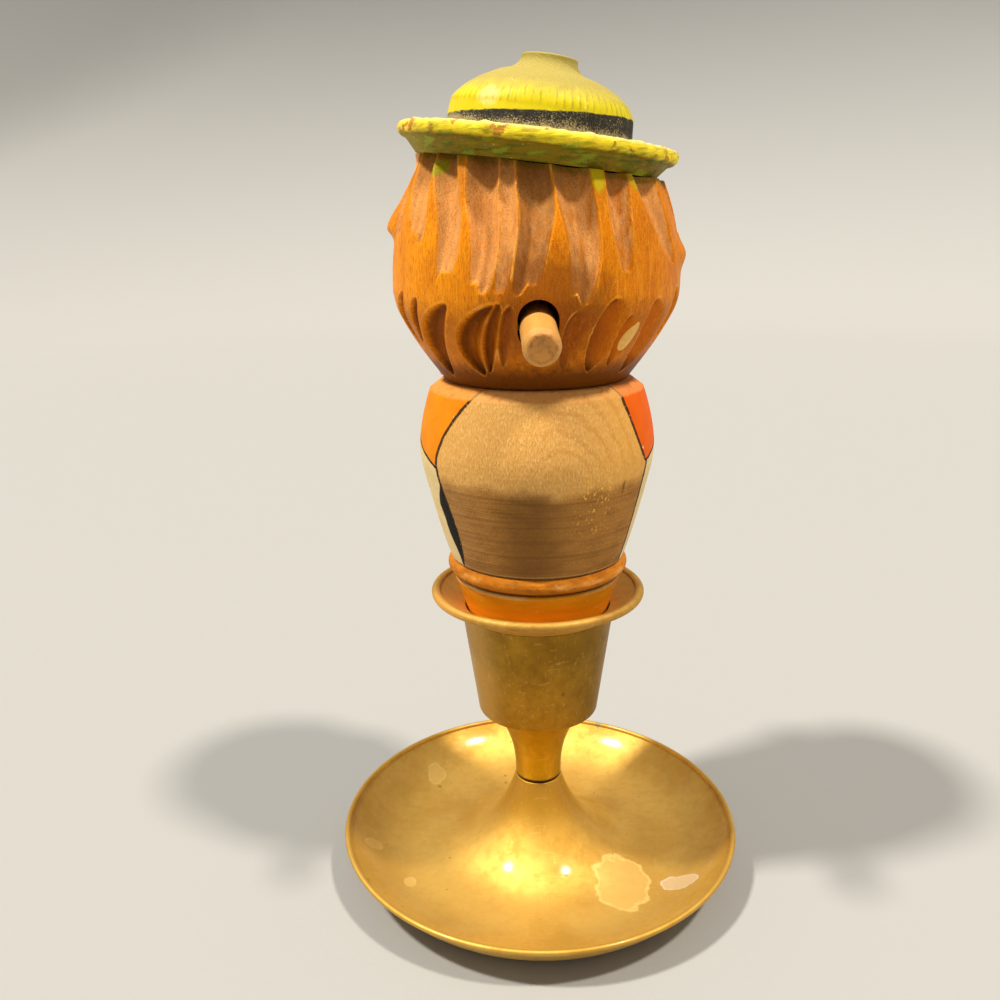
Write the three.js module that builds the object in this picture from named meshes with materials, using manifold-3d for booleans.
// A mechanical bottle stopper: a carved and painted wooden figure on a cork, whose jaw is worked by a
// lever peg in the back of its head, standing in a small brass pedestal. Millimetres, +Z up. The origin
// is on the table under the axis, the lever points to -Y and the face looks to +Y.
import * as THREE from "three";
import { mergeVertices } from "three/addons/utils/BufferGeometryUtils.js";
import Module from "manifold-3d";

const wasm = await Module();
wasm.setup();

// Clearances
const SEAT_GAP = 0.3; // between two pieces that rest on one another
const PIN_GAP = 0.3; // round dowels, pins and screws in their holes
const MOVE_GAP = 0.5; // beside and above the moving jaw
const MOUTH_GAP = 0.8; // collar in the mouth of the cup
const CORK_GAP = 1.6; // cork in the cup

// Saucer, with its trumpet foot and neck
const SAUCER_R = 34.4;
const RIM_Z = 7.2;
const LIP_R = 0.45; // the rounded lip
const LIP_STEP = 0.9; // from the lip's top down to the top of the dish's wall
const SAUCER_WALL = 1.2;
const WALL_POWER = 2; // how the dish's wall curves up
const UNDER_WALL_POWER = 1.6;
const FOOT_IN_R = 19;
const FOOT_OUT_R = 27;
const NECK_Z = 15.3;
const NECK_R = 4.05;
const NECK_BORE_R = 3.35;
const NECK_BORE_DEPTH = 1.4;
const NECK_SOLID = 5.3;
const FLARE_R = 1.8; // the radius that the trumpet's curve would close in on, far above the neck

// Tie screw, nut and washer
const SCREW_R = 1.5;
const SCREW_HEAD_R = 2.75;
const SCREW_HEAD_H = 1.6;
const SCREW_PAST_NUT = 1.2;
const NUT_R = 3.1;
const NUT_H = 2.4;
const WASHER_R = 3.8;
const WASHER_T = 0.6;

// Stem cone, cup and drip flange
const CONE_H = 14.2;
const CONE_FOOT_R = 3.05;
const CONE_WAIST_R = 3.95;
const CONE_WAIST_RISE = 0.8; // from the neck's top to the waist
const CONE_TOP_R = 8.45;
const CONE_FLARE_POWER = 1.6;
const CUP_H = 17.9;
const CUP_FOOT_R = 10.1;
const CUP_MOUTH_R = 12.65;
const CUP_WALL = 0.8;
const CUP_FLOOR = 1.2;
const CUP_CORNER = 1.2;
const FLANGE_R = 17.6;
const FLANGE_RISE = 2.6;
const FLANGE_T = 0.9;
const FLANGE_BEAD_R = 0.75;

// Cork, collar and torso
const CORK_H = 13.2;
const CORK_TAPER = 1.4;
const CORK_CHAMFER = 0.6;
const COLLAR_DROP = 1.1;
const COLLAR_H = 8;
const COLLAR_TOP_R = 13.6;
const COLLAR_EDGE = 0.3;
const DOWEL_R = 3.5;
const CORK_DOWEL_IN = 9;
const TORSO_DOWEL_IN = 12;
const GROOVE_H = 1;
const GROOVE_R = 12.8;
const BEAD_H = 2.6;
const BEAD_R = 14.65;
const BELLY_FOOT_R = 14;
const BELLY_POWER = 0.85;
const CHEST_POWER = 1.9;
const TORSO_H = 31.6;
const TORSO_WIDE_H = 20;
const TORSO_R = 18.65;
const TORSO_SHOULDER_R = 16.7;
const TORSO_TOP_R = 14.9;
const SHOULDER_H = 1.3;
const NECK_DOWEL_IN = 9;

// Head and hair
const HEAD_H = 30.5;
const HEAD_FOOT_R = 14.2;
const HEAD_WIDE_H = 11.6;
const HEAD_R = 21.7;
const HEAD_TOP_R = 17.8;
const HEAD_TOP_POWER = 2.6;
const UNDER_BULGE = 0.45; // how far the lower cone bulges
const NECK_HOLE_DEPTH = 3;
const FLUTES = 6; // on each side of the middle one
const FLUTE_PITCH = 18; // degrees
const FLUTE_CROWD = 4.6; // degrees by which the flutes on the right sit closer to the middle one
const FLUTE_DEPTH = 1.8;
const FLUTE_END_H = 13.4;
const FLUTE_END_RISE = 8; // how much higher the flutes end at the side of the head
const GOUGE_R = 3.2;
const LEAVES = 4; // leaf-shaped gouge cuts under the flutes, on each side of the lever
const LEAF_FOOT_H = 2.2;
const LEAF_TOP_H = 12.4;
const LEAF_DEPTH = 2.1;
const LEAF_GOUGE_R = 2.2;
const LEAF_LEAN = 1.6; // how far the deepest place lies towards the arched end

// Face
const FACE_TURN = 6; // degrees, towards -X
const FACE_EDGE = 79; // degrees from the middle of the face to the edge of the hair
const FACE_EDGE_BLEND = 3; // degrees
const FACE_R = 20; // in the middle; the sides follow the turned skin
const FACE_MID_H = 15;
const FACE_LONG = 30; // half the height at which the rounded mask would close
const UNDER_CHIN = 4.5; // how far the mask draws in under the chin
const FOREHEAD_TOP = 1; // from the hairline to the top of the head
const NOSE_OUT = 4.6;
const NOSE_W = 2.4;
const NOSE_UNDER = 1.4;
const EYE_X = 5.2;
const EYE_OUT = 0.9;
const EYE_W = 1.9;
const EYE_H = 1.3;
const SOCKET_DEPTH = 1.2;
const SOCKET_W = 3.4;
const SOCKET_H = 2;
const SOCKET_DOWN = 2.6; // from the brow
const BROW_OUT = 0.8;
const BROW_W = 4.5;
const BROW_H = 1.2;
const CHEEK_TURN = 66; // degrees from the middle of the face
const CHEEK_SPREAD = 18; // degrees
const CHEEK_OUT = 2.1;
const CHEEK_H = 4;
const LIPS_OUT = 0.8;
const LIPS_W = 5;
const LIPS_H = 2;
const CHIN_OUT = 1.6;
const CHIN_W = 5;
const CHIN_SPREAD_H = 2.4;

// Lever peg, pivot pin and jaw
const PIVOT_IN = 6.7; // from the back of the head to the pivot
const PIVOT_H = 9;
const PIN_R = 0.9;
const PIN_PAST_PEG = 6.5;
const PIN_HEAD_R = 1.9; // the pin's thick end, which shows in the hair
const PIN_HEAD_L = 6; // from the turned skin inwards
const PEG_OVER_PIN = 0.7; // from the pin's axis up to the lever's axis
const PEG_R = 2.5;
const PEG_TILT = 8; // degrees below level with the mouth shut
const PEG_OUT = 8.5;
const LEVER_X = -0.5; // the lever sits a little left of the middle
const PEG_CHAMFER = 0.7;
const PEG_SOCKET_IN = 6;
const JAW_SWING = 8; // degrees
const JAW_W = 12.4;
const JAW_BACK = 11.5;
const MOUTH_H = 9.6;
const CHIN_H = 4.3;
const SOCKET_BACK = 3; // from the pivot to the socket's end
const SOCKET_L = 11;
const SOCKET_WALL = 1.6;
const TAIL_W = 7;
const TAIL_H = 3.9;
const TAIL_RISE = 1.3; // from the open socket's centre to the top of the tail
const TAIL_OVERLAP = 2.4; // how far the tail reaches into the jaw's front block
const THROAT_Y = 7; // where the opening under the jaw ends

// Hat
const HAT_LEAN = 7.2; // degrees, towards +X
const HAT_BACK = 2; // degrees, towards -Y
const BRIM_R = 20.5;
const BRIM_EDGE = 1.4;
const BRIM_UNDER_R = 17.6;
const BRIM_UNDER_H = 2.5;
const CROWN_R = 13.75;
const CROWN_TOP_R = 13.35;
const BRIM_SLOPE_H = 0.5;
const BAND_H = 2.7;
const DOME_H = 6.1;
const KNOB_FOOT_R = 5.4;
const KNOB_R = 4.4;
const KNOB_H = 2.4;
const KNOB_ROUND = 0.5;
const HAT_DOWEL_R = 3;
const HAT_DOWEL_IN = 7;
const HEAD_DOWEL_IN = 8;

// Facets
const WIDE_SIDES = 44;
const SIDES = 36;
const PIN_SIDES = 20;
const HEAD_COLUMNS = 100;
const HEAD_ROWS = 22;
const HEAD_ROW_POWER = 1.25; // the rows lie closer together over the leaves

// Heights that follow from the sizes above, from the table up
const neckSeatZ = NECK_Z - NECK_BORE_DEPTH;
const nutSeatZ = neckSeatZ - NECK_SOLID;
const coneZ = neckSeatZ + SEAT_GAP;
const cupZ = coneZ + CONE_H + SEAT_GAP;
const cupFloorZ = cupZ + CUP_FLOOR;
const cupTopZ = cupZ + CUP_H;
const collarZ = cupTopZ - COLLAR_DROP;
const corkTopZ = collarZ - SEAT_GAP;
const torsoZ = collarZ + COLLAR_H + SEAT_GAP;
const torsoTopZ = torsoZ + TORSO_H;
const headZ = torsoTopZ + SEAT_GAP;
const pivotZ = headZ + PIVOT_H;
const leverZ = pivotZ + PEG_OVER_PIN;
const pivotBack = HEAD_R - PIVOT_IN;
const hatZ = headZ + HEAD_H + SEAT_GAP;

const radians = THREE.MathUtils.degToRad;

// Materials, one for each kind of surface
const finish = (color, roughness, metalness = 0) => () =>
  new THREE.MeshStandardMaterial({ color, roughness, metalness });
const brass = finish(0xc49a3c, 0.32, 1);
const steel = finish(0x8d8a84, 0.4, 1);
const corkBark = finish(0xb98a5c, 0.9);
const bareWood = finish(0xd9b77c, 0.7);
const stainedWood = finish(0xc9751f, 0.6);
const hairWood = finish(0xb9621f, 0.6);
const skinPaint = finish(0xe2a06a, 0.55);
const hatPaint = finish(0xe0b418, 0.5);

// Adds a named piece to a group.
function addPiece(group, name, geometry, material) {
  const mesh = new THREE.Mesh(geometry, material());
  mesh.name = name;
  group.add(mesh);
  return mesh;
}

// Turns a half profile of [radius, height] points, listed anticlockwise, about the Z axis.
function turned(profile, sides) {
  const points = profile.map(([radius, height]) => new THREE.Vector2(radius, height));
  return new THREE.LatheGeometry(points, sides).rotateX(Math.PI / 2);
}

// A closed ring profile ends where it starts.
function turnedRing(profile, sides) {
  return turned([...profile, profile[0]], sides);
}

// Points of a curve, from a function of a share that runs from 0 to 1.
function curve(steps, pointAt) {
  return Array.from({ length: steps + 1 }, (_, i) => pointAt(i / steps));
}

const mix = THREE.MathUtils.lerp;

// A round bar along Z between two heights.
function bar(radius, fromZ, toZ, sides = PIN_SIDES) {
  const shape = new THREE.CylinderGeometry(radius, radius, toZ - fromZ, sides);
  return shape.rotateX(Math.PI / 2).translate(0, 0, (fromZ + toZ) / 2);
}

// A box between two corners.
function block([x0, y0, z0], [x1, y1, z1]) {
  const shape = new THREE.BoxGeometry(x1 - x0, y1 - y0, z1 - z0);
  return shape.translate((x0 + x1) / 2, (y0 + y1) / 2, (z0 + z1) / 2);
}

// A solid for joining and cutting, from a closed geometry.
function solid(geometry) {
  const bare = geometry.clone();
  bare.deleteAttribute("normal");
  bare.deleteAttribute("uv");
  const merged = mergeVertices(bare, 1e-4);
  const triVerts = new Uint32Array(merged.index.array);
  const vertProperties = merged.attributes.position.array;
  return new wasm.Manifold(new wasm.Mesh({ numProp: 3, vertProperties, triVerts }));
}

// The geometry of a finished solid.
function geometryOf(made) {
  const mesh = made.getMesh();
  const geometry = new THREE.BufferGeometry();
  const position = new THREE.BufferAttribute(mesh.vertProperties, 3);
  geometry.setAttribute("position", position);
  geometry.setIndex(new THREE.BufferAttribute(mesh.triVerts, 1));
  geometry.computeVertexNormals();
  return geometry;
}

// Stand

// The radius of the trumpet's outer surface at a height: a hyperbola through the neck.
const trumpetR = (z) => FLARE_R + (NECK_Z * (NECK_R - FLARE_R)) / z;
const trumpetZ = (radius) => (NECK_Z * (NECK_R - FLARE_R)) / (radius - FLARE_R);

function saucerBase() {
  const lipZ = RIM_Z - LIP_R;
  const wallTopR = SAUCER_R - 2 * LIP_R;
  const wallTopZ = RIM_Z - LIP_STEP;
  const floorZ = trumpetZ(FOOT_OUT_R);
  const wall = (share) => [
    mix(FOOT_OUT_R, wallTopR, share),
    mix(floorZ, wallTopZ, share ** WALL_POWER),
  ];
  const underWall = (share) => [
    mix(FOOT_OUT_R, SAUCER_R - LIP_R, share),
    mix(0, lipZ - LIP_R, share ** UNDER_WALL_POWER),
  ];
  const lip = (share) => {
    const angle = mix(-Math.PI / 2, Math.PI, share);
    return [SAUCER_R - LIP_R + LIP_R * Math.cos(angle), lipZ + LIP_R * Math.sin(angle)];
  };
  const trumpet = (share) => {
    const radius = NECK_R + (FOOT_OUT_R - NECK_R) * share ** 2;
    return [radius, trumpetZ(radius)];
  };
  const hollow = (share) => {
    const z = mix(nutSeatZ, 0, share);
    return [Math.min(FOOT_IN_R, trumpetR(z + SAUCER_WALL) - SAUCER_WALL / 2), z];
  };
  const boreR = SCREW_R + PIN_GAP;
  return turnedRing(
    [
      [boreR, nutSeatZ],
      ...curve(5, hollow),
      ...curve(4, underWall),
      ...curve(5, lip).slice(1),
      ...curve(3, (share) => wall(1 - share)),
      ...curve(8, (share) => trumpet(1 - share)).slice(1),
      [NECK_BORE_R, NECK_Z],
      [NECK_BORE_R, neckSeatZ],
      [boreR, neckSeatZ],
    ],
    WIDE_SIDES,
  );
}

function stemCone() {
  const boreR = SCREW_R + PIN_GAP;
  const topZ = coneZ + CONE_H;
  const flare = (share) => [
    mix(CONE_WAIST_R, CONE_TOP_R, share ** CONE_FLARE_POWER),
    mix(NECK_Z + CONE_WAIST_RISE, topZ, share),
  ];
  return turnedRing(
    [[boreR, coneZ], [CONE_FOOT_R, coneZ], [CONE_FOOT_R, NECK_Z], ...curve(6, flare), [boreR, topZ]],
    PIN_SIDES,
  );
}

// The outer radius of the cup, and of the collar in its mouth, at a height.
const cupR = (z) => mix(CUP_FOOT_R, CUP_MOUTH_R, (z - cupZ) / CUP_H);
const collarFootR = CUP_MOUTH_R - CUP_WALL - MOUTH_GAP;
const collarR = (z) => mix(collarFootR, COLLAR_TOP_R, (z - collarZ) / (COLLAR_H - COLLAR_EDGE));

function cup() {
  const corner = (share) => {
    const angle = (share * Math.PI) / 2;
    const centreR = cupR(cupZ + CUP_CORNER) - CUP_CORNER;
    return [
      centreR + CUP_CORNER * Math.sin(angle),
      cupZ + CUP_CORNER - CUP_CORNER * Math.cos(angle),
    ];
  };
  return turnedRing(
    [
      [SCREW_R + PIN_GAP, cupZ],
      ...curve(4, corner),
      [CUP_MOUTH_R, cupTopZ],
      [CUP_MOUTH_R - CUP_WALL, cupTopZ],
      [cupR(cupFloorZ) - CUP_WALL, cupFloorZ],
      [SCREW_R + PIN_GAP, cupFloorZ],
    ],
    SIDES,
  );
}

function dripFlange() {
  const footZ = cupTopZ + SEAT_GAP;
  const mouthR = collarR(footZ + FLANGE_T) + SEAT_GAP;
  const beadR = FLANGE_R - FLANGE_BEAD_R;
  const beadZ = footZ + FLANGE_RISE + FLANGE_BEAD_R;
  const bead = (share) => {
    const angle = mix(-Math.PI / 2, Math.PI / 2, share);
    return [beadR + FLANGE_BEAD_R * Math.cos(angle), beadZ + FLANGE_BEAD_R * Math.sin(angle)];
  };
  return turnedRing(
    [
      [mouthR, footZ],
      [CUP_MOUTH_R, footZ],
      ...curve(6, bead),
      [beadR - FLANGE_BEAD_R, beadZ],
      [mouthR, footZ + FLANGE_T],
    ],
    SIDES,
  );
}

const screwSeatZ = cupFloorZ + SEAT_GAP;
const washerZ = nutSeatZ - SEAT_GAP - WASHER_T;
const nutZ = washerZ - SEAT_GAP - NUT_H;

function tieScrew() {
  const tipZ = nutZ - SCREW_PAST_NUT;
  return turned(
    [
      [0, tipZ],
      [SCREW_R, tipZ],
      [SCREW_R, screwSeatZ],
      [SCREW_HEAD_R, screwSeatZ],
      [SCREW_HEAD_R, screwSeatZ + SCREW_HEAD_H],
      [0, screwSeatZ + SCREW_HEAD_H],
    ],
    PIN_SIDES,
  );
}

// A flat ring round the screw: the washer with round sides, the nut with six.
function ringRoundScrew(radius, fromZ, toZ, sides) {
  const shape = new THREE.Shape();
  for (let i = 0; i < sides; i += 1) {
    const angle = (i * 2 * Math.PI) / sides;
    const point = [radius * Math.cos(angle), radius * Math.sin(angle)];
    if (i === 0) shape.moveTo(...point);
    else shape.lineTo(...point);
  }
  shape.closePath();
  const bore = new THREE.Path().absarc(0, 0, SCREW_R + PIN_GAP, 0, 2 * Math.PI, true);
  shape.holes.push(bore);
  const options = { depth: toZ - fromZ, bevelEnabled: false, curveSegments: PIN_SIDES / 2 };
  return new THREE.ExtrudeGeometry(shape, options).translate(0, 0, fromZ);
}

// Stopper

function cork() {
  const holeR = DOWEL_R + PIN_GAP;
  const holeZ = corkTopZ - CORK_DOWEL_IN - SEAT_GAP;
  const footZ = corkTopZ - CORK_H;
  const topR = cupR(corkTopZ) - CUP_WALL - CORK_GAP;
  const footR = topR - CORK_TAPER;
  return turned(
    [
      [0, footZ],
      [footR - CORK_CHAMFER, footZ],
      [footR, footZ + CORK_CHAMFER],
      [topR, corkTopZ],
      [holeR, corkTopZ],
      [holeR, holeZ],
      [0, holeZ],
    ],
    SIDES,
  );
}

function collar() {
  const holeR = DOWEL_R + PIN_GAP;
  const topZ = collarZ + COLLAR_H;
  return turnedRing(
    [
      [holeR, collarZ],
      [collarFootR, collarZ],
      [COLLAR_TOP_R, topZ - COLLAR_EDGE],
      [COLLAR_TOP_R - COLLAR_EDGE, topZ],
      [holeR, topZ],
    ],
    SIDES,
  );
}

function torso() {
  const holeR = DOWEL_R + PIN_GAP;
  const beadZ = torsoZ + GROOVE_H;
  const bellyZ = beadZ + BEAD_H;
  const wideZ = torsoZ + TORSO_WIDE_H;
  const shoulderZ = torsoTopZ - SHOULDER_H;
  const bead = (share) => {
    const angle = mix(-Math.PI / 2, Math.PI / 2, share);
    const half = BEAD_H / 2;
    return [BEAD_R - half + half * Math.cos(angle), beadZ + half + half * Math.sin(angle)];
  };
  const belly = (share) => [
    mix(BELLY_FOOT_R, TORSO_R, share ** BELLY_POWER),
    mix(bellyZ, wideZ, share),
  ];
  const chest = (share) => [
    mix(TORSO_R, TORSO_SHOULDER_R, share ** CHEST_POWER),
    mix(wideZ, shoulderZ, share),
  ];
  const lowHoleZ = torsoZ + TORSO_DOWEL_IN + SEAT_GAP;
  const highHoleZ = torsoTopZ - NECK_DOWEL_IN - SEAT_GAP;
  return turned(
    [
      [0, lowHoleZ],
      [holeR, lowHoleZ],
      [holeR, torsoZ],
      [GROOVE_R, torsoZ],
      [GROOVE_R, beadZ],
      ...curve(4, bead),
      ...curve(4, belly),
      ...curve(4, chest).slice(1),
      [TORSO_TOP_R, torsoTopZ],
      [holeR, torsoTopZ],
      [holeR, highHoleZ],
      [0, highHoleZ],
    ],
    SIDES,
  );
}

// Head: the radius of the hair at an angle from the middle of the back and a height over its foot. The
// turned skin is an upper bulge over a lower cone. Each flute is a gouge cut that starts deep under the
// hat and runs out lower down. Each leaf is a gouge cut into the cone, with an arched upper end.
function skinRadius(height) {
  const under = Math.min(1, height / HEAD_WIDE_H);
  const over = Math.max(0, height - HEAD_WIDE_H) / (HEAD_H - HEAD_WIDE_H);
  const cone = mix(HEAD_FOOT_R, HEAD_R, under) + UNDER_BULGE * Math.sin(Math.PI * under);
  return cone - (HEAD_R - HEAD_TOP_R) * over ** HEAD_TOP_POWER;
}

// The angle at which a flute is cut, counted from the middle one. A half count lies between two flutes.
function fluteAngle(count) {
  const allRound = 180 / FLUTE_PITCH;
  const { clamp } = THREE.MathUtils;
  const crowd = clamp(count, 0, 1) * clamp((allRound - count) / (allRound - FLUTES), 0, 1);
  return count * FLUTE_PITCH - crowd * FLUTE_CROWD;
}

function hairRadius(angle, height) {
  const skin = skinRadius(height);
  const arcTo = (centre) => skin * radians(angle - centre);
  let radius = skin;
  for (let k = -FLUTES; k <= FLUTES; k += 1) {
    const centre = fluteAngle(k);
    const endH = FLUTE_END_H + FLUTE_END_RISE * Math.sin(radians(centre)) ** 2;
    const depth = (FLUTE_DEPTH * (height - endH)) / (HEAD_H - endH);
    if (depth > 0) {
      radius = Math.min(radius, skin - depth + arcTo(centre) ** 2 / (2 * GOUGE_R));
    }
  }
  const along = (height - LEAF_FOOT_H) / (LEAF_TOP_H - LEAF_FOOT_H);
  if (along <= 0 || along >= 1) return radius;
  const bed = skin - LEAF_DEPTH * Math.sin(Math.PI * along ** LEAF_LEAN);
  for (let k = 1; k <= LEAVES; k += 1) {
    for (const centre of [fluteAngle(-k - 0.5), fluteAngle(k + 0.5)]) {
      radius = Math.min(radius, bed + arcTo(centre) ** 2 / (2 * LEAF_GOUGE_R));
    }
  }
  return radius;
}

// A rounded swelling of height 1 at a place on the face, x to the side and z up.
function swelling(x, z, [centreX, centreZ], [spreadX, spreadZ]) {
  return Math.exp(-(((x - centreX) / spreadX) ** 2) - ((z - centreZ) / spreadZ) ** 2);
}

// A calm, plain face: each feature is a swelling or a hollow on a rounded mask. The places follow the
// usual thirds, from the chin to the foot of the nose, to the brow and to the hairline.
const faceThird = (HEAD_H - FOREHEAD_TOP - CHIN_H) / 3;
const noseFootH = CHIN_H + faceThird;
const browH = CHIN_H + 2 * faceThird;
const eyeH = browH - SOCKET_DOWN;

function maskRadius(turn, height) {
  const round = Math.sqrt(1 - ((height - FACE_MID_H) / FACE_LONG) ** 2);
  const drawIn = UNDER_CHIN * (1 - THREE.MathUtils.smoothstep(height, 0, CHIN_H));
  return mix(FACE_R * round - drawIn, skinRadius(height), Math.sin(turn) ** 2);
}

// The angle is measured from the middle of the face.
function faceRadius(angle, height) {
  const turn = radians(angle);
  const mask = maskRadius(turn, height);
  const x = mask * Math.sin(turn);
  const side = Math.abs(x);
  const noseShare = THREE.MathUtils.clamp((browH - height) / (browH - noseFootH), 0, 1);
  const overFoot = THREE.MathUtils.smoothstep(height, noseFootH - NOSE_UNDER, noseFootH);
  const nose = NOSE_OUT * noseShare * overFoot * Math.exp(-((x / NOSE_W) ** 2));
  const brow = BROW_OUT * swelling(side, height, [EYE_X, browH], [BROW_W, BROW_H]);
  const socket = SOCKET_DEPTH * swelling(side, height, [EYE_X, eyeH], [SOCKET_W, SOCKET_H]);
  const eye = EYE_OUT * swelling(side, height, [EYE_X, eyeH], [EYE_W, EYE_H]);
  const cheekPlace = [CHEEK_TURN, noseFootH];
  const cheek = CHEEK_OUT * swelling(Math.abs(angle), height, cheekPlace, [CHEEK_SPREAD, CHEEK_H]);
  const lips = LIPS_OUT * swelling(x, height, [0, MOUTH_H], [LIPS_W, LIPS_H]);
  const chin = CHIN_OUT * swelling(x, height, [0, CHIN_H], [CHIN_W, CHIN_SPREAD_H]);
  return mask + nose + brow - socket + eye + cheek + lips + chin;
}

// The carved head before its cuts: rows of points at the height of each row, with a cap at each end.
function carvedHead() {
  const topH = HEAD_H + HEAD_TOP_R * Math.tan(radians(HAT_LEAN + HAT_BACK));
  const points = [];
  const triangles = [];
  for (let row = 0; row <= HEAD_ROWS; row += 1) {
    const height = topH * (row / HEAD_ROWS) ** HEAD_ROW_POWER;
    for (let column = 0; column < HEAD_COLUMNS; column += 1) {
      const angle = fluteAngle(((column / HEAD_COLUMNS - 0.5) * 360) / FLUTE_PITCH);
      const fromFace = THREE.MathUtils.euclideanModulo(angle - FACE_TURN, 360) - 180;
      const past = (FACE_EDGE - Math.abs(fromFace)) / FACE_EDGE_BLEND;
      const share = THREE.MathUtils.smoothstep(past, -1, 1);
      const radius = mix(hairRadius(angle, height), faceRadius(fromFace, height), share);
      const turn = radians(angle);
      points.push(radius * Math.sin(turn), -radius * Math.cos(turn), headZ + height);
    }
  }
  const at = (row, column) => row * HEAD_COLUMNS + (column % HEAD_COLUMNS);
  const footCentre = points.length / 3;
  const topCentre = footCentre + 1;
  points.push(0, 0, headZ, 0, 0, headZ + topH);
  for (let column = 0; column < HEAD_COLUMNS; column += 1) {
    for (let row = 0; row < HEAD_ROWS; row += 1) {
      const [a, b] = [at(row, column), at(row, column + 1)];
      const [c, d] = [at(row + 1, column + 1), at(row + 1, column)];
      triangles.push(a, b, c, a, c, d);
    }
    triangles.push(footCentre, at(0, column + 1), at(0, column));
    triangles.push(topCentre, at(HEAD_ROWS, column), at(HEAD_ROWS, column + 1));
  }
  const geometry = new THREE.BufferGeometry();
  geometry.setAttribute("position", new THREE.Float32BufferAttribute(points, 3));
  geometry.setIndex(triangles);
  return solid(geometry);
}

// Places a geometry that is drawn along Z on the lever's tilted axis, with its origin over the pivot.
function onLever(geometry) {
  return geometry.rotateX(Math.PI / 2 + radians(PEG_TILT)).translate(LEVER_X, -pivotBack, leverZ);
}

// Places a geometry that is drawn along Z on the hat's leaning axis, with the hat's foot at its origin.
function onHat(geometry) {
  const lean = new THREE.Euler(radians(HAT_BACK), radians(HAT_LEAN), 0);
  const turn = new THREE.Matrix4().makeRotationFromEuler(lean);
  return geometry.applyMatrix4(turn).translate(0, 0, hatZ);
}

// A geometry drawn along Z, laid along X through the pivot.
function acrossPivot(geometry) {
  return geometry.rotateY(Math.PI / 2).translate(0, -pivotBack, pivotZ);
}

const pinStartX = -(PEG_R + PIN_PAST_PEG);
const socketR = PEG_R + PIN_GAP + SOCKET_WALL;
const pinHeadX = Math.sqrt(skinRadius(PIVOT_H) ** 2 - pivotBack ** 2) - PIN_HEAD_L;
const pegBackL = PIVOT_IN + PEG_OUT; // from the pivot to the free end
const pegFrontL = -SOCKET_BACK - PEG_SOCKET_IN; // from the pivot to the end in the socket
const tailTopZ = leverZ + socketR * Math.sin(radians(JAW_SWING)) + TAIL_RISE;
const tailZ = tailTopZ - TAIL_H;
const tailFrontY = JAW_BACK + SEAT_GAP + TAIL_OVERLAP;

// How far a point of the jaw in front of the pivot sinks when the mouth opens fully.
const sinkAt = (y) => (y + pivotBack) * Math.sin(radians(JAW_SWING));

function head(carved) {
  const outY = 2 * HEAD_R;
  const slotR = PEG_R + SEAT_GAP;
  const slotShape = new THREE.Shape();
  const slotRise = MOVE_GAP + PIVOT_IN * Math.sin(radians(JAW_SWING));
  const slotZ = leverZ - PIVOT_IN * Math.tan(radians(PEG_TILT));
  slotShape.absarc(LEVER_X, slotZ + slotRise, slotR, 0, Math.PI);
  slotShape.absarc(LEVER_X, slotZ, slotR, Math.PI, 2 * Math.PI);
  slotShape.closePath();
  const channelY = SOCKET_BACK - pivotBack - socketR * Math.sin(radians(PEG_TILT)) - MOVE_GAP;
  const slotOptions = { depth: outY + channelY, bevelEnabled: false, curveSegments: PIN_SIDES / 2 };
  const slot = new THREE.ExtrudeGeometry(slotShape, slotOptions);
  slot.rotateX(Math.PI / 2).translate(0, channelY, 0);
  const channelX = socketR + MOVE_GAP - LEVER_X;
  const channelFloorZ = Math.min(tailZ - sinkAt(THROAT_Y), leverZ - socketR) - MOVE_GAP;
  const socketTopZ = leverZ + (SOCKET_BACK + SOCKET_L) * Math.sin(radians(PEG_TILT)) + socketR;
  const mouthX = JAW_W / 2 + SEAT_GAP;
  const tailX = TAIL_W / 2 + MOVE_GAP;
  const underZ = headZ - HEAD_H;
  const cuts = [
    slot,
    block([-channelX, channelY, channelFloorZ], [channelX, JAW_BACK, socketTopZ + MOVE_GAP]),
    block([-tailX, THROAT_Y, underZ], [tailX, tailFrontY + MOVE_GAP, tailTopZ + MOVE_GAP]),
    block([-mouthX, THROAT_Y, underZ], [mouthX, outY, headZ + MOUTH_H + SEAT_GAP]),
    bar(DOWEL_R + PIN_GAP, headZ - NECK_HOLE_DEPTH, headZ + NECK_HOLE_DEPTH + SEAT_GAP),
    acrossPivot(bar(PIN_R + PIN_GAP, pinStartX - SEAT_GAP, outY)),
    acrossPivot(bar(PIN_HEAD_R + PIN_GAP, pinHeadX - SEAT_GAP, outY)),
    onHat(block([-outY, -outY, -SEAT_GAP], [outY, outY, HEAD_H])),
    onHat(bar(HAT_DOWEL_R + PIN_GAP, -HEAD_DOWEL_IN - SEAT_GAP, HEAD_H)),
  ];
  return geometryOf(cuts.reduce((rest, cut) => rest.subtract(solid(cut)), carved));
}

function jaw(carved) {
  const outY = 2 * HEAD_R;
  const half = JAW_W / 2;
  const lip = solid(block([-half, JAW_BACK + SEAT_GAP, headZ + CHIN_H], [half, outY, headZ + MOUTH_H]));
  const tailBackY = SOCKET_BACK + SOCKET_L / 2 - pivotBack;
  const tail = block([-TAIL_W / 2, tailBackY, tailZ], [TAIL_W / 2, tailFrontY, tailTopZ]);
  const socket = onLever(bar(socketR, -SOCKET_BACK - SOCKET_L, -SOCKET_BACK));
  const bore = onLever(bar(PEG_R + PIN_GAP, pegFrontL - SEAT_GAP, SOCKET_L));
  const front = carved.intersect(lip);
  const made = front.add(solid(tail)).add(solid(socket)).subtract(solid(bore));
  return geometryOf(made);
}

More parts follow.
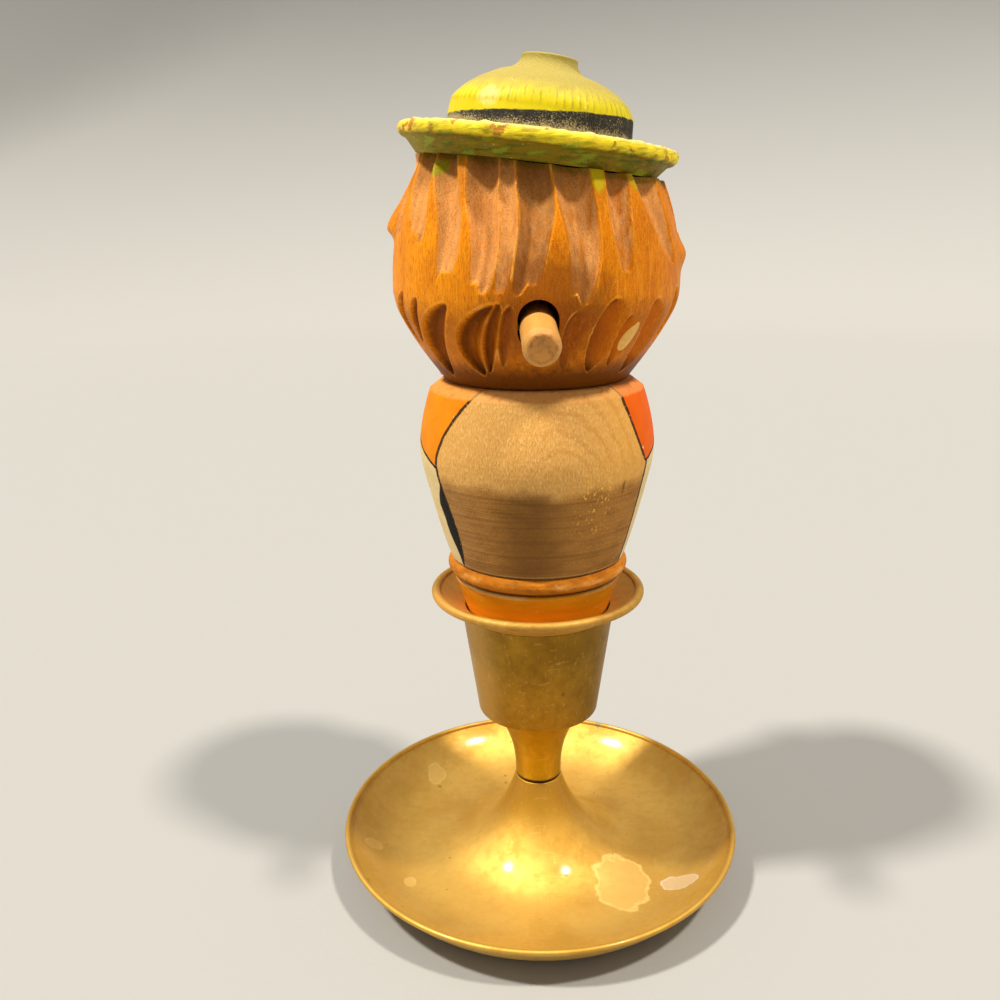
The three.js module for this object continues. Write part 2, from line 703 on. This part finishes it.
// The pivot pin: a thin shaft with a thick end that is trimmed flush with the hair.
function pivotPin(carved) {
  const shaft = solid(acrossPivot(bar(PIN_R, pinStartX, pinHeadX + PIN_HEAD_L / 2)));
  const end = solid(acrossPivot(bar(PIN_HEAD_R, pinHeadX, 2 * HEAD_R))).intersect(carved);
  return geometryOf(shaft.add(end));
}

function leverPeg() {
  const profile = [
    [0, pegFrontL],
    [PEG_R, pegFrontL],
    [PEG_R, pegBackL - PEG_CHAMFER],
    [PEG_R - PEG_CHAMFER, pegBackL],
    [0, pegBackL],
  ];
  const peg = solid(onLever(turned(profile, PIN_SIDES)));
  const pinHole = solid(acrossPivot(bar(PIN_R + PIN_GAP, -2 * PEG_R, 2 * PEG_R)));
  return geometryOf(peg.subtract(pinHole));
}

// The hat is drawn along Z from its foot, and then leans.
function hat() {
  const edgeZ = BRIM_UNDER_H;
  const bandZ = edgeZ + BRIM_EDGE + BRIM_SLOPE_H;
  const domeZ = bandZ + BAND_H;
  const edge = (share) => {
    const angle = mix(-Math.PI / 2, Math.PI / 2, share);
    const half = BRIM_EDGE / 2;
    return [BRIM_R - half + half * Math.cos(angle), edgeZ + half + half * Math.sin(angle)];
  };
  const knobRise = Math.sqrt(1 - (KNOB_FOOT_R / CROWN_TOP_R) ** 2);
  const dome = (share) => {
    const rise = share * knobRise;
    return [CROWN_TOP_R * Math.sqrt(1 - rise ** 2), domeZ + DOME_H * rise];
  };
  const knobFootZ = domeZ + DOME_H * knobRise;
  const knobZ = knobFootZ + KNOB_H;
  const knob = (share) => [
    mix(KNOB_FOOT_R, KNOB_R, Math.sin((share * Math.PI) / 2)),
    mix(knobFootZ, knobZ - KNOB_ROUND, share),
  ];
  const holeR = HAT_DOWEL_R + PIN_GAP;
  const holeZ = HAT_DOWEL_IN + SEAT_GAP;
  const profile = [
    [0, holeZ],
    [holeR, holeZ],
    [holeR, 0],
    [BRIM_UNDER_R, 0],
    ...curve(4, edge),
    [CROWN_R, bandZ],
    ...curve(6, (share) => dome(Math.sin((share * Math.PI) / 2))),
    ...curve(3, knob).slice(1),
    [KNOB_R - KNOB_ROUND, knobZ],
    [0, knobZ],
  ];
  return onHat(turned(profile, SIDES));
}

// The assembly: the stand, the stopper that lifts out of it, and the jaw that rocks in the stopper.
const stand = new THREE.Group();
addPiece(stand, "saucer_base", saucerBase(), brass);
addPiece(stand, "stem_cone", stemCone(), brass);
addPiece(stand, "cup", cup(), brass);
addPiece(stand, "drip_flange", dripFlange(), brass);
addPiece(stand, "tie_screw", tieScrew(), steel);
addPiece(stand, "tie_washer", ringRoundScrew(WASHER_R, washerZ, washerZ + WASHER_T, PIN_SIDES), steel);
addPiece(stand, "tie_nut", ringRoundScrew(NUT_R, nutZ, nutZ + NUT_H, 6), steel);

const carved = carvedHead();
const stopper = new THREE.Group();
addPiece(stopper, "cork", cork(), corkBark);
addPiece(stopper, "cork_dowel", bar(DOWEL_R, corkTopZ - CORK_DOWEL_IN, torsoZ + TORSO_DOWEL_IN), bareWood);
addPiece(stopper, "collar", collar(), stainedWood);
addPiece(stopper, "torso", torso(), bareWood);
addPiece(stopper, "neck_dowel", bar(DOWEL_R, torsoTopZ - NECK_DOWEL_IN, headZ + NECK_HOLE_DEPTH), bareWood);
addPiece(stopper, "head", head(carved), hairWood);
addPiece(stopper, "pivot_pin", pivotPin(carved), bareWood);
addPiece(stopper, "hat_dowel", onHat(bar(HAT_DOWEL_R, -HEAD_DOWEL_IN, HAT_DOWEL_IN)), bareWood);
addPiece(stopper, "hat", hat(), hatPaint);

const jawLever = new THREE.Group();
addPiece(jawLever, "jaw", jaw(carved), skinPaint);
addPiece(jawLever, "lever_peg", leverPeg(), bareWood);
stopper.add(jawLever);

const bottleStopper = new THREE.Group();
bottleStopper.add(stand, stopper);

export default bottleStopper;
